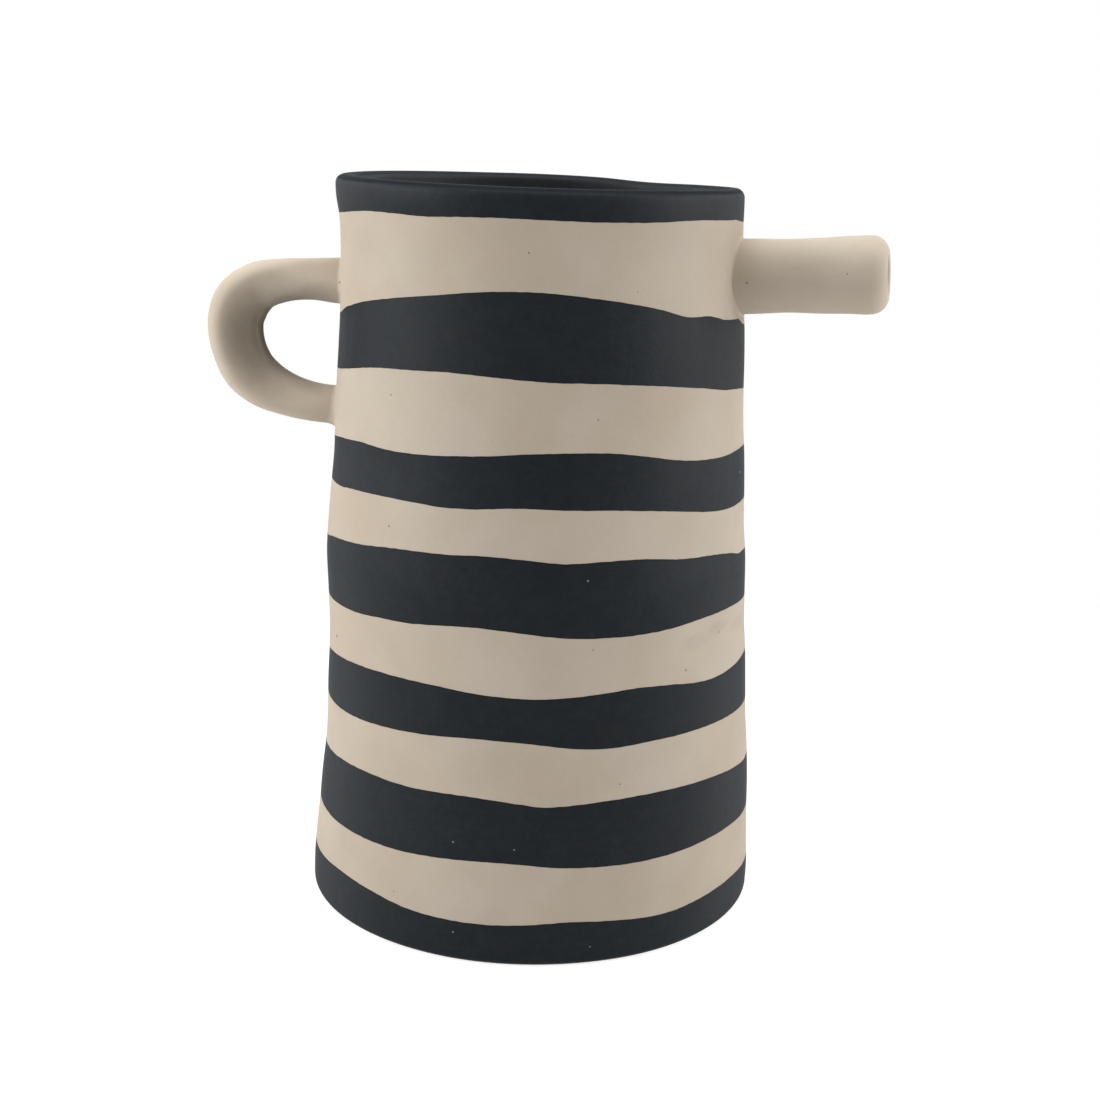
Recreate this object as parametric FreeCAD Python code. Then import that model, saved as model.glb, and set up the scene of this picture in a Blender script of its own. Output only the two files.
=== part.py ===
import FreeCAD, Part
import math
import os

# A hand-built stoneware jug with dark slip bands, a coil loop handle and a straight spout.
# Millimetres, +Z up. The origin is the centre of the foot. The handle stands out to -X, and the
# spout to +X, turned a little towards the front, which is the side at -Y.

Vec = FreeCAD.Vector
origin = Vec(0, 0, 0)
to_spout = Vec(1, 0, 0)
to_back = Vec(0, 1, 0)
up = Vec(0, 0, 1)

# Body
body_height = 213.8
foot_radius = 68.0
rim_radius = 59.0
foot_round = 1.5
wall_thickness = 6.0
floor_thickness = 7.0
lip_outer_round = 2.6
lip_inner_round = 2.2

# The side between foot and rim: share of the height, and share of the way from the foot's radius
# to the rim's.
side_shares = [
    (0.165, 0.21),
    (0.248, 0.36),
    (0.33, 0.44),
    (0.496, 0.54),
    (0.661, 0.80),
    (0.826, 0.97),
    (0.912, 1.06),
]

# Coil in the inside corner between floor and wall. Its face sinks a little towards the corner, and
# its two edges are blunt.
seam_coil_width = 8.0
seam_coil_height = 9.0
seam_coil_edge = 0.6
seam_coil_hollow_share = 0.22

# Slip and glaze
slip_thickness = 0.4
foot_band_clearance = 0.5
glaze_thickness = 0.4
glaze_below_rim_band = 0.6

# Edges of the dark bands, as shares of the body's height at eight compass points: front, front
# right, right, back right, back, back left, left, front left.
rim_band_lower_shares = (0.959, 0.958, 0.952, 0.956, 0.963, 0.960, 0.954, 0.961)
dark_band_shares = {
    "dark_band_2": (
        (0.764, 0.749, 0.727, 0.734, 0.755, 0.753, 0.743, 0.766),
        (0.872, 0.839, 0.815, 0.820, 0.846, 0.841, 0.817, 0.854),
    ),
    "dark_band_3": (
        (0.606, 0.589, 0.575, 0.582, 0.598, 0.601, 0.591, 0.601),
        (0.674, 0.655, 0.657, 0.668, 0.677, 0.666, 0.654, 0.662),
    ),
    "dark_band_4": (
        (0.445, 0.444, 0.438, 0.439, 0.448, 0.442, 0.433, 0.440),
        (0.539, 0.529, 0.503, 0.510, 0.530, 0.532, 0.523, 0.535),
    ),
    "dark_band_5": (
        (0.300, 0.294, 0.286, 0.290, 0.301, 0.297, 0.286, 0.294),
        (0.361, 0.359, 0.359, 0.367, 0.368, 0.363, 0.359, 0.367),
    ),
    "dark_band_6": (
        (0.139, 0.135, 0.130, 0.133, 0.138, 0.134, 0.128, 0.132),
        (0.218, 0.221, 0.205, 0.210, 0.223, 0.221, 0.217, 0.222),
    ),
}
foot_band_upper_shares = (0.059, 0.054, 0.052, 0.057, 0.059, 0.063, 0.068, 0.065)

# Loop handle
handle_below_rim = 30.0
handle_drop = 36.6
handle_reach = 39.0
handle_arm_thickness = 11.4
handle_bend_thickness = 16.3
handle_width = 14.5
# Its centre line from the upper joint round to the lower one: share of the way out from the wall
# to the bend, share of the drop, and share of the way from the arm's thickness to the bend's.
handle_line_shares = [
    (0.00, 0.000, 0.35),
    (0.25, -0.005, 0.15),
    (0.54, 0.010, 0.25),
    (0.76, 0.070, 0.60),
    (0.92, 0.180, 1.00),
    (1.00, 0.395, 0.98),
    (0.975, 0.555, 0.92),
    (0.87, 0.730, 0.88),
    (0.715, 0.845, 0.65),
    (0.49, 0.925, 0.27),
    (0.23, 0.980, 0.02),
    (0.00, 1.000, 0.00),
]

# Spout
spout_below_rim = 25.3
spout_reach = 40.8
spout_root_radius = 10.5
spout_end_radius = 10.8
spout_end_round = 5.2
spout_bore_radius = 5.0
spout_mouth_round = 0.8
spout_tilt_degrees = 3.0
spout_turn_degrees = 15.0

# Luting clay round the three joints: how far it runs along the arm or the tube, and how far it
# spreads round it.
handle_top_collar_length = 3.5
handle_top_collar_flare = 1.6
handle_foot_collar_length = 4.5
handle_foot_collar_flare = 3.2
spout_collar_length = 3.5
spout_collar_flare = 2.4
# A collar's hollow outline: share of its length out from the wall, and share of its flare. The
# last two places lie inside the wall, because that curves away from the joint.
collar_line_shares = [(1.0, 0.20), (0.6, 0.30), (0.25, 0.58), (0.0, 1.0), (-0.4, 1.6), (-0.8, 2.2)]

# Cutting shapes run this far past what they cut, and two places nearer than the tolerance are one.
overrun = 5.0
tolerance = 0.000001

# An arm's oval section is a smooth curve through this many points.
oval_points = 8


# Radius of the outer side at a height.
def side_radius(height):
    share = min(max(height / body_height, 0), 1)
    places = [(0, 0)] + side_shares + [(1, 1)]
    for (low, low_way), (high, high_way) in zip(places, places[1:]):
        if share <= high:
            way = low_way + (high_way - low_way) * (share - low) / (high - low)
            return foot_radius + (rim_radius - foot_radius) * way


# The side as a smooth curve in the XZ plane, from one height to another, set in by a depth.
def side_curve(depth, start, end):
    places = [share * body_height for share, way in side_shares]
    between = [height for height in places if min(start, end) < height < max(start, end)]
    heights = [start] + sorted(between, reverse=start > end) + [end]
    curve = Part.BSplineCurve()
    curve.interpolate([Vec(side_radius(height) - depth, 0, height) for height in heights])
    return curve.toShape()


# A quarter circle in the XZ plane, anticlockwise from its start angle.
def quarter_arc(centre_x, centre_z, radius, start_degrees):
    points = []
    for turned in (0, 45, 90):
        angle = math.radians(start_degrees + turned)
        points.append(Vec(centre_x + radius * math.cos(angle), 0, centre_z + radius * math.sin(angle)))
    return Part.Arc(*points).toShape()


# A closed outline through curves and points in order, with straight lines between them.
def closed_outline(pieces):
    ends = []
    for piece in pieces:
        if isinstance(piece, Vec):
            ends.append((piece, piece))
        else:
            ends.append((piece.valueAt(piece.FirstParameter), piece.valueAt(piece.LastParameter)))
    edges = []
    for number, piece in enumerate(pieces):
        if not isinstance(piece, Vec):
            edges.append(piece)
        finish = ends[number][1]
        start = ends[(number + 1) % len(pieces)][0]
        if finish.distanceToPoint(start) > tolerance:
            edges.append(Part.makeLine(finish, start))
    return Part.Wire(edges)


def revolved(pieces):
    return Part.Face(closed_outline(pieces)).revolve(origin, up, 360)


# The outside from the middle of the foot up to the lip, set in by a depth.
def outer_line(depth):
    lip_height = body_height - lip_outer_round
    foot_centre = side_radius(foot_round) - foot_round
    lip_centre = side_radius(lip_height) - lip_outer_round
    return [
        Vec(0, 0, depth),
        quarter_arc(foot_centre, foot_round, foot_round - depth, -90),
        side_curve(depth, foot_round, lip_height),
        quarter_arc(lip_centre, lip_height, lip_outer_round - depth, 0),
    ]


# The inside from the lip down to the floor, set into the clay by a depth.
def inner_line(depth):
    lip_height = body_height - lip_inner_round
    lip_centre = side_radius(lip_height) - wall_thickness + lip_inner_round
    return [
        quarter_arc(lip_centre, lip_height, lip_inner_round - depth, 90),
        side_curve(wall_thickness - depth, lip_height, floor_thickness - depth),
        Vec(0, 0, floor_thickness - depth),
    ]


# The seam coil's hollow face, from the floor up to the wall, set in from the clay by a depth.
def coil_face(depth):
    coil_top = floor_thickness + seam_coil_height
    corner = side_radius(floor_thickness) - wall_thickness
    low = Vec(corner - seam_coil_width - depth, 0, floor_thickness + seam_coil_edge + depth)
    high = Vec(side_radius(coil_top) - wall_thickness - seam_coil_edge - depth, 0, coil_top + depth)
    middle = (low + high) / 2
    sink = Vec(corner - middle.x, 0, floor_thickness - middle.z) * seam_coil_hollow_share
    return Part.Arc(low, middle + sink, high).toShape()


# The coil's section runs past the corner, where the clay cuts it off.
def coil_line():
    low = coil_face(0).firstVertex().Point
    high = coil_face(0).lastVertex().Point
    return [
        Vec(low.x, 0, floor_thickness),
        coil_face(0),
        Vec(foot_radius, 0, high.z),
        Vec(foot_radius, 0, floor_thickness),
    ]


# The hollow that is left inside the glaze, which covers floor, coil and wall up to a height.
def glazed_hollow_line(top):
    coil_low = coil_face(glaze_thickness).firstVertex().Point
    coil_high = coil_face(glaze_thickness).lastVertex().Point
    return [
        Vec(0, 0, top),
        Vec(0, 0, floor_thickness + glaze_thickness),
        Vec(coil_low.x, 0, floor_thickness + glaze_thickness),
        coil_face(glaze_thickness),
        side_curve(wall_thickness + glaze_thickness, coil_high.z, top),
    ]


# A closed wavy curve round the body, through a radius and a height at each compass point.
def wavy_curve(radii, heights):
    points = []
    for number, (radius, height) in enumerate(zip(radii, heights)):
        angle = math.tau * number / len(heights)
        points.append(Vec(radius * math.sin(angle), -radius * math.cos(angle), height))
    curve = Part.BSplineCurve()
    curve.interpolate(Points=points, PeriodicFlag=True)
    return curve.toShape()


# A ring with a wavy underside and a wavy top. Its inner side runs where a rule puts it at each height,
# and its outer side lies clear of the body.
def wavy_ring(inner_rule, lower_heights, upper_heights):
    outside = [max(foot_radius, rim_radius) + overrun] * len(lower_heights)
    inner_low = wavy_curve([inner_rule(height) for height in lower_heights], lower_heights)
    outer_low = wavy_curve(outside, lower_heights)
    inner_high = wavy_curve([inner_rule(height) for height in upper_heights], upper_heights)
    outer_high = wavy_curve(outside, upper_heights)
    faces = [
        Part.makeRuledSurface(inner_low, outer_low),
        Part.makeRuledSurface(outer_low, outer_high),
        Part.makeRuledSurface(outer_high, inner_high),
        Part.makeRuledSurface(inner_high, inner_low),
    ]
    shell = Part.Shell(faces)
    shell.sewShape()
    ring = Part.Solid(shell)
    ring.fix(tolerance, tolerance, tolerance)
    if ring.Volume < 0:
        ring.reverse()
    return ring


def heights_of(shares):
    return [share * body_height for share in shares]


# The middle of the wall, where the bands on the outside stop.
def middle_of_wall(height):
    return side_radius(height) - wall_thickness / 2


# Within the mouth, so that the rim band goes over the lip and down inside.
def within_mouth(height):
    return side_radius(height) - wall_thickness - overrun


# One band of slip: the part of the coat between a lower and an upper edge.
def slip_band(coat, inner_rule, lower_heights, upper_heights):
    return coat.common(wavy_ring(inner_rule, lower_heights, upper_heights))


# An oval section of an arm: a closed curve about its centre, in the plane square to its direction.
def oval_section(centre, direction, thickness, width):
    across = direction.cross(to_back).normalize() * (thickness / 2)
    along = to_back * (width / 2)
    points = []
    for step in range(oval_points):
        angle = math.tau * step / oval_points
        points.append(centre + across * math.cos(angle) + along * math.sin(angle))
    curve = Part.BSplineCurve()
    curve.interpolate(Points=points, PeriodicFlag=True)
    return Part.Wire(curve.toShape())


# Centre points and thicknesses of the handle, starting and ending inside the wall. Each joint lies on
# the wall at its own height.
def handle_line():
    top = body_height - handle_below_rim
    upper_root = side_radius(top)
    lower_root = side_radius(top - handle_drop)
    bend = upper_root + handle_reach - handle_bend_thickness / 2
    depth = wall_thickness / 2
    line = []
    for out, down, thick in handle_line_shares:
        root = upper_root + (lower_root - upper_root) * down
        centre = Vec(-root - (bend - root) * out, 0, top - handle_drop * down)
        thickness = handle_arm_thickness + (handle_bend_thickness - handle_arm_thickness) * thick
        line.append((centre, thickness))
    first = line[0]
    last = line[-1]
    inwards = Vec(depth, 0, 0)
    return [(first[0] + inwards, first[1])] + line + [(last[0] + inwards, last[1])]


def loop_handle(line):
    sections = []
    for number, (centre, thickness) in enumerate(line):
        before = line[max(number - 1, 0)][0]
        after = line[min(number + 1, len(line) - 1)][0]
        sections.append(oval_section(centre, after - before, thickness, handle_width))
    return Part.makeLoft(sections, True, False)


# Luting clay round an arm or tube: a hollow flare that spreads towards the wall.
def joint_collar(joint, direction, thickness, width, length, flare):
    outwards = Vec(direction).normalize()
    sections = []
    for out, spread in collar_line_shares:
        growth = 2 * flare * spread
        centre = joint + outwards * (length * out)
        sections.append(oval_section(centre, outwards, thickness + growth, width + growth))
    return Part.makeLoft(sections, True, False)


# The spout's root on the wall and the way that it points, before it is turned towards the front
spout_root = Vec(side_radius(body_height - spout_below_rim), 0, body_height - spout_below_rim)
spout_tilt = math.radians(spout_tilt_degrees)
spout_direction = Vec(math.cos(spout_tilt), 0, math.sin(spout_tilt))


# A shape swung about the jug's axis from +X towards the front, to where the spout stands.
def turned_to_front(shape):
    shape.rotate(origin, up, -spout_turn_degrees)
    return shape


# A shape turned about the spout's axis, from an outline of distance out from the wall and radius.
def turned_on_spout(pieces):
    shape = Part.Face(closed_outline(pieces)).revolve(origin, to_spout, 360)
    shape.rotate(origin, to_back, -spout_tilt_degrees)
    shape.translate(spout_root)
    return turned_to_front(shape)


def spout_cylinder(radius, start, end):
    return turned_on_spout([Vec(start, 0, 0), Vec(end, 0, 0), Vec(end, 0, radius), Vec(start, 0, radius)])


def spout_tube():
    start = -wall_thickness
    mouth = spout_reach - spout_mouth_round
    mouth_radius = spout_bore_radius + spout_mouth_round
    return turned_on_spout([
        Vec(start, 0, spout_bore_radius),
        quarter_arc(mouth, mouth_radius, spout_mouth_round, -90),
        quarter_arc(spout_reach - spout_end_round, spout_end_radius - spout_end_round, spout_end_round, 0),
        Vec(start, 0, spout_root_radius),
    ])


def main():
    vessel = revolved(outer_line(0) + inner_line(0))
    core = revolved(outer_line(slip_thickness) + inner_line(slip_thickness))
    coat = vessel.cut(core)
    envelope = revolved(outer_line(0) + [Vec(0, 0, body_height)])
    inside = revolved(inner_line(0) + [Vec(0, 0, body_height)])
    bore_start = -wall_thickness - overrun
    bore = spout_cylinder(spout_bore_radius, bore_start, spout_reach + overrun)
    parts = {}

    # Slip bands, from the rim down
    rim_heights = heights_of(rim_band_lower_shares)
    above_rim = [body_height + overrun] * len(rim_heights)
    parts["rim_band"] = slip_band(coat, within_mouth, rim_heights, above_rim)
    for name, (lower_shares, upper_shares) in dark_band_shares.items():
        parts[name] = slip_band(coat, middle_of_wall, heights_of(lower_shares), heights_of(upper_shares))
    foot_heights = heights_of(foot_band_upper_shares)
    near_floor = [foot_band_clearance] * len(foot_heights)
    parts["foot_band"] = slip_band(coat, middle_of_wall, near_floor, foot_heights)

    # Floor and wall, less the bands let into them. The bore clears any band that it meets.
    clay = vessel
    for name in list(parts):
        clay = clay.cut(parts[name])
        parts[name] = parts[name].cut(bore)
    floor_block = Part.makeCylinder(foot_radius + overrun, floor_thickness)
    parts["floor_slab"] = clay.common(floor_block)
    parts["wall_slab"] = clay.cut(floor_block).cut(bore)

    # Seam coil, and the glaze over floor, coil and wall
    parts["floor_seam_coil"] = inside.common(revolved(coil_line()))
    glaze_top = min(rim_heights) - glaze_below_rim_band
    glazed_hollow = revolved(glazed_hollow_line(glaze_top))
    lining = inside.common(Part.makeCylinder(foot_radius, glaze_top))
    lining = lining.cut(parts["floor_seam_coil"]).cut(glazed_hollow)
    parts["glaze_lining"] = lining.cut(bore)

    # Handle and its two collars
    line = handle_line()
    loop = loop_handle(line)
    parts["loop_handle"] = loop.cut(envelope)
    (top_joint, top_thickness), (top_next, _) = line[1:3]
    (foot_next, _), (foot_joint, foot_thickness) = line[-3:-1]
    top_collar = joint_collar(top_joint, top_next - top_joint, top_thickness, handle_width,
                              handle_top_collar_length, handle_top_collar_flare)
    foot_collar = joint_collar(foot_joint, foot_next - foot_joint, foot_thickness, handle_width,
                               handle_foot_collar_length, handle_foot_collar_flare)
    parts["handle_top_collar"] = top_collar.cut(envelope).cut(loop)
    parts["handle_foot_collar"] = foot_collar.cut(envelope).cut(loop)

    # Spout, its collar and the glaze in its bore
    tube = spout_tube()
    tube_width = 2 * spout_root_radius
    parts["spout_tube"] = tube.cut(envelope)
    collar = joint_collar(spout_root, spout_direction, tube_width, tube_width,
                          spout_collar_length, spout_collar_flare)
    collar = turned_to_front(collar)
    parts["spout_collar"] = collar.cut(envelope).cut(tube).cut(bore)
    glazed_bore = spout_cylinder(spout_bore_radius - glaze_thickness, bore_start - overrun, spout_reach)
    sleeve = spout_cylinder(spout_bore_radius, bore_start, spout_reach - spout_mouth_round)
    parts["spout_glaze_sleeve"] = sleeve.cut(glazed_bore).cut(glazed_hollow)

    os.makedirs("parts", exist_ok=True)
    for name, shape in parts.items():
        state = "valid" if shape.isValid() else "not valid"
        print(name, len(shape.Solids), "solid", round(shape.Volume), "mm3", state)
        shape.exportStep("parts/" + name + ".step")


main()
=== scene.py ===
import math
from bisect import bisect_right

import bmesh
import bpy
from mathutils import Matrix, Vector, noise


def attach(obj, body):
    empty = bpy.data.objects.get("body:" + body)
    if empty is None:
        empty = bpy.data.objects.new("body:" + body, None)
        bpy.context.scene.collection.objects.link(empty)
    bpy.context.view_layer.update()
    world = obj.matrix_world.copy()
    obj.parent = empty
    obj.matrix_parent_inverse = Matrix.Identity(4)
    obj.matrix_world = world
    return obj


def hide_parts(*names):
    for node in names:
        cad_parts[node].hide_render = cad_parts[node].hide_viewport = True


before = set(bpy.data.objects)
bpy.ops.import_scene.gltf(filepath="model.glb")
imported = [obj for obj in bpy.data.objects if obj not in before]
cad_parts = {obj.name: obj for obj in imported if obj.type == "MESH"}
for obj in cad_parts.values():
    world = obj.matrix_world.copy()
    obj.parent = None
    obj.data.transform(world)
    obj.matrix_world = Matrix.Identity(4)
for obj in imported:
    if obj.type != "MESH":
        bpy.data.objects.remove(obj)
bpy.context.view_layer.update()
scene = bpy.context.scene
mm = 0.001
turn = math.radians


def ease(value):
    value = min(max(value, 0), 1)
    return value * value * (3 - 2 * value)


# 0 up to start and 1 from end on, with a smooth way between. The end may be the lower of the two.
def eased(value, start, end):
    return ease((value - start) / (end - start))


# A smooth line through given rows of (place, value, value...). With a period it closes on itself.
class SmoothLine:
    def __init__(self, rows, period=None):
        if period:
            before = [(row[0] - period, *row[1:]) for row in rows[-3:]]
            rows = before + rows + [(row[0] + period, *row[1:]) for row in rows[:3]]
        self.period = period
        self.first = rows[3 if period else 0][0]
        self.places = [row[0] for row in rows]
        self.values = [row[1:] for row in rows]
        self.slopes = []
        for number, place in enumerate(self.places):
            low, high = max(number - 1, 0), min(number + 1, len(rows) - 1)
            before, after = place - self.places[low], self.places[high] - place
            slope = []
            for a, b, c in zip(self.values[low], self.values[number], self.values[high]):
                if before and after:
                    slope.append(((b - a) / before * after + (c - b) / after * before) / (before + after))
                else:
                    slope.append((c - a) / (before + after))
            self.slopes.append(slope)

    def at(self, place):
        if self.period:
            place = (place - self.first) % self.period + self.first
        place = min(max(place, self.places[0]), self.places[-1])
        number = min(bisect_right(self.places, place) - 1, len(self.places) - 2)
        run = self.places[number + 1] - self.places[number]
        t = (place - self.places[number]) / run
        a, b = (1 + 2 * t) * (1 - t) ** 2, t * (1 - t) ** 2 * run
        c, d = t * t * (3 - 2 * t), t * t * (t - 1) * run
        ends = zip(self.values[number], self.slopes[number], self.values[number + 1], self.slopes[number + 1])
        return [a * v0 + b * s0 + c * v1 + d * s1 for v0, s0, v1, s1 in ends]


# The jug's body
body = {
    # height, then how far the left and the right side stand from the middle
    "sides": [
        (0, -67.8, 68.0), (7, -67.65, 68.2), (15, -67.0, 67.8), (25, -65.9, 67.45), (35, -65.0, 67.2),
        (45, -63.8, 66.65), (55, -63.2, 65.8), (65, -63.0, 65.3), (75, -62.5, 64.8), (85, -62.4, 64.0),
        (95, -62.7, 63.7), (105, -63.0, 63.4), (115, -62.4, 62.5), (125, -61.5, 62.2), (135, -60.55, 61.75),
        (145, -60.2, 61.0), (155, -59.7, 60.6), (165, -59.1, 60.4), (174, -58.6, 60.0), (184, -58.3, 59.2),
        (194, -58.2, 58.6), (203, -58.5, 58.4), (209, -59.4, 58.4), (213.8, -59.6, 58.3)],
    "wall": 6.0, "floor": 7.0, "footRound": 1.5, "lipOuterRound": 2.6, "lipInnerRound": 2.2,
    "rimHeight": 213.8,
    # angle from the front, + towards the spout, and how far the rim stands above its middle height
    "rimLifts": {-90: 1.0, -40: 0.2, 0: -0.5, 50: -0.9, 90: -1.0, 120: -1.1, 146: -0.9, 160: 0.0,
                 178: 0.6, 200: 0.9, 235: 1.2},
    "unevenness": 0.3, "bulgesRound": 1.6, "bulgeHeight": 34,
    # the mesh: columns round the jug, heights of its rows, steps of its roundings and rings of the floor
    "columns": 320, "rowHeight": 2.2, "hiddenRowHeight": 6.0, "innerRowHeight": 5.0, "floorRowHeight": 2.8,
    "lipRowHeight": 1.2, "lipSteps": 8, "footSteps": 4, "floorRings": (12, 24, 36, 47, 54),
}

# Where each brushed edge runs: angle from the front, + towards the spout, and height.
stripeEdges = [
    {-90: 12.6, -65: 13.9, -57: 14.4, -44: 13.8, -30: 12.3, -13: 11.8, -1: 12.3, 8: 13.0, 19: 12.4,
     32: 11.3, 56: 11.9, 65: 11.8, 70: 11.3, 90: 10.8, 135: 12.0, 180: 12.8, 225: 13.4},
    {-90: 27.4, -71: 27.6, -59: 27.8, -35: 28.5, -14: 29.8, -7: 30.0, 7: 28.9, 19: 28.5, 38: 28.5, 49: 28.8,
     63: 28.5, 70: 28.0, 90: 27.6, 135: 28.4, 180: 29.4, 225: 28.6},
    {-90: 44.8, -76: 45.8, -68: 46.3, -62: 46.8, -51: 47.4, -33: 47.6, -15: 48.1, -4: 47.2, 1: 46.5,
     6: 46.7, 19: 47.6, 47: 47.3, 65: 45.5, 70: 44.8, 75: 44.4, 90: 43.6, 135: 45.0, 180: 47.6, 225: 46.8},
    {-90: 61.0, -74: 61.4, -64: 61.7, -29: 63.9, -15: 64.9, 0: 64.3, 10: 63.0, 19: 62.5, 28: 62.9, 37: 63.0,
     63: 62.4, 73: 61.8, 90: 61.2, 135: 62.0, 180: 64.4, 225: 63.4},
    {-90: 74.4, -79: 75.4, -74: 76.2, -65: 77.1, -38: 78.7, -25: 78.5, -15: 77.7, 0: 77.2, 19: 78.5,
     25: 78.9, 33: 78.5, 49: 76.5, 64: 76.6, 74: 77.1, 90: 76.6, 135: 78.4, 180: 78.6, 225: 77.2},
    {-90: 92.0, -76: 92.4, -64: 93.0, -55: 93.4, -42: 94.5, -35: 94.9, -15: 96.4, -4: 95.7, 6: 94.5,
     19: 94.0, 31: 94.1, 47: 95.0, 63: 94.9, 74: 94.2, 90: 93.4, 135: 94.0, 180: 95.8, 225: 94.6},
    {-90: 108.8, -80: 110.1, -75: 111.0, -70: 111.9, -64: 112.6, -52: 113.7, -40: 115.1, -20: 116.0,
     -15: 116.3, -5: 116.0, 7: 114.9, 19: 115.2, 27: 115.1, 39: 113.6, 57: 111.8, 64: 110.6, 69: 109.3,
     75: 108.9, 79: 108.4, 90: 107.4, 135: 109.0, 180: 113.5, 225: 112.0},
    {-90: 126.6, -81: 127.0, -72: 127.3, -67: 127.4, -59: 128.2, -51: 128.6, -34: 128.8, -25: 128.5,
     -16: 128.8, -6: 129.6, 8: 129.3, 18: 129.0, 41: 126.6, 51: 125.0, 64: 124.0, 75: 123.9, 90: 123.2,
     135: 124.5, 180: 128.0, 225: 128.6},
    {-90: 139.3, -77: 140.2, -70: 141.1, -63: 141.7, -53: 142.2, -46: 141.9, -37: 141.9, -16: 143.1,
     -2: 144.3, 18: 144.4, 45: 140.3, 59: 139.6, 72: 139.8, 80: 139.5, 135: 143.0, 180: 145.0, 225: 142.5},
    {-90: 158.8, -79: 159.8, -74: 160.2, -69: 160.9, -64: 161.6, -50: 163.6, -33: 164.5, -24: 164.8,
     -17: 164.5, 1: 163.4, 18: 162.8, 47: 160.0, 59: 158.2, 72: 157.0, 76: 156.5, 83: 155.7, 135: 157.0,
     180: 161.5, 225: 161.0},
    {-90: 174.9, -75: 176.7, -70: 178.2, -65: 179.2, -62: 179.9, -42: 183.2, -29: 184.8, -17: 186.2,
     -2: 186.7, 17: 184.8, 33: 181.9, 42: 179.6, 51: 179.3, 59: 177.8, 65: 177.3, 71: 176.8, 74: 175.6,
     80: 174.6, 135: 175.6, 180: 181.0, 225: 180.0},
    {-90: 203.9, -77: 204.1, -72: 204.4, -53: 205.6, -29: 205.2, -17: 205.5, 17: 204.8, 27: 204.7,
     48: 205.1, 55: 204.9, 64: 204.7, 67: 204.7, 70: 204.4, 75: 203.9, 84: 203.5, 135: 204.6, 180: 206.0,
     225: 205.4},
]

slip = {
    "depth": 0.3, "bareFoot": 0.5, "stillBelow": 8.0, "stillLip": 5.0, "edgeWidth": 0.45,
    "edgeWander": 0.12, "edgeWanderSize": 2.2, "edgeWanderStep": 7.3,
}

sideLine = SmoothLine(body["sides"])
rimLine = SmoothLine(list(body["rimLifts"].items()), 360)
edgeLines = [SmoothLine(list(edge.items()), 360) for edge in stripeEdges]
edgeMiddles = [sum(edge.values()) / len(edge) for edge in stripeEdges]
tubeRadius = 60.0    # pieces are spun as a straight tube of this radius, then set on the body
lipStart = body["rimHeight"] - slip["stillLip"]
evenHeights = [slip["stillBelow"]] + edgeMiddles + [lipStart]
rimEdge = evenHeights[-2]
bareAngle = math.asin((body["footRound"] - slip["bareFoot"]) / body["footRound"])
quarter = math.pi / 2


def angleOf(x, y):
    return math.degrees(math.atan2(x, -y))


def pointAt(angle, radius, height):
    return Vector((radius * math.sin(turn(angle)), -radius * math.cos(turn(angle)), height))


# Middle and radius of the side, at a depth below it, at a height and in the direction of an angle
def outerSide(angle, height, depth=0.0):
    left, right = sideLine.at(height)
    kept = ease(1 - depth / body["wall"])    # the inside is rounder than the outside
    middle = (left + right) / 2 * kept
    radius = (right - left) / 2
    spot = pointAt(angle, body["bulgesRound"], height / body["bulgeHeight"])
    bulge = noise.noise(spot) * body["unevenness"] * math.cos(turn(angle)) ** 2
    return middle, radius + bulge * kept - depth


columnHeights = {}


# The real heights of the stripe edges at one column of the mesh, kept once they are worked out
def heightsAt(angle):
    key = round(angle * body["columns"] / 360) % body["columns"]
    if key not in columnHeights:
        angle = key * 360 / body["columns"]
        heights = [slip["stillBelow"]]
        for number, line in enumerate(edgeLines):
            spot = pointAt(angle, tubeRadius / slip["edgeWanderSize"], number * slip["edgeWanderStep"])
            heights.append(line.at(angle)[0] + noise.noise(spot) * slip["edgeWander"])
        columnHeights[key] = heights + [lipStart + rimLine.at(angle)[0]]
    return columnHeights[key]


# An even height on the straight tube, moved with the stripe edges above and below it
def realHeight(angle, height):
    places = heightsAt(angle)
    if height <= evenHeights[0]:
        return height
    if height >= lipStart:
        return height + places[-1] - lipStart
    number = bisect_right(evenHeights, height) - 1
    way = (height - evenHeights[number]) / (evenHeights[number + 1] - evenHeights[number])
    return places[number] + (places[number + 1] - places[number]) * way


# From the straight tube to the real body: depth below the side and even height become a real place.
def onBody(place):
    angle = angleOf(place.x, place.y)
    across = math.hypot(place.x, place.y)
    height = realHeight(angle, place.z)
    depth = min(tubeRadius - across, body["wall"])
    middle, radius = outerSide(angle, height, depth)
    inner = tubeRadius - body["wall"]
    if across < inner:
        radius = radius * across / inner
    spot = pointAt(angle, radius, height)
    return Vector((spot.x + middle, spot.y, height))


# Pieces are built in mm and kept in metres.
def finishMesh(bm, name, sharpDegrees=38):
    mesh = bpy.data.meshes.new(name)
    bm.normal_update()
    bm.to_mesh(mesh)
    bm.free()
    mesh.transform(Matrix.Scale(mm, 4))
    mesh.shade_smooth()
    mesh.set_sharp_from_angle(angle=turn(sharpDegrees))
    piece = bpy.data.objects.new(name, mesh)
    scene.collection.objects.link(piece)
    return piece


# mm: nearer points are welded, shorter edges go, and nearer rows or places are the same one
weld, sliver, sameRow, samePlace = 0.0005, 0.0002, 0.01, 0.001


# Spins a closed outline about an axis.
def spun(outline, axis, steps):
    bm = bmesh.new()
    corners = [bm.verts.new(place) for place in outline]
    edges = [bm.edges.new(pair) for pair in zip(corners, corners[1:] + corners[:1])]
    bmesh.ops.spin(bm, geom=corners + edges, cent=(0, 0, 0), axis=axis, angle=math.tau,
                   steps=steps, use_merge=True)
    bmesh.ops.remove_doubles(bm, verts=bm.verts[:], dist=weld)
    return bm


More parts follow.
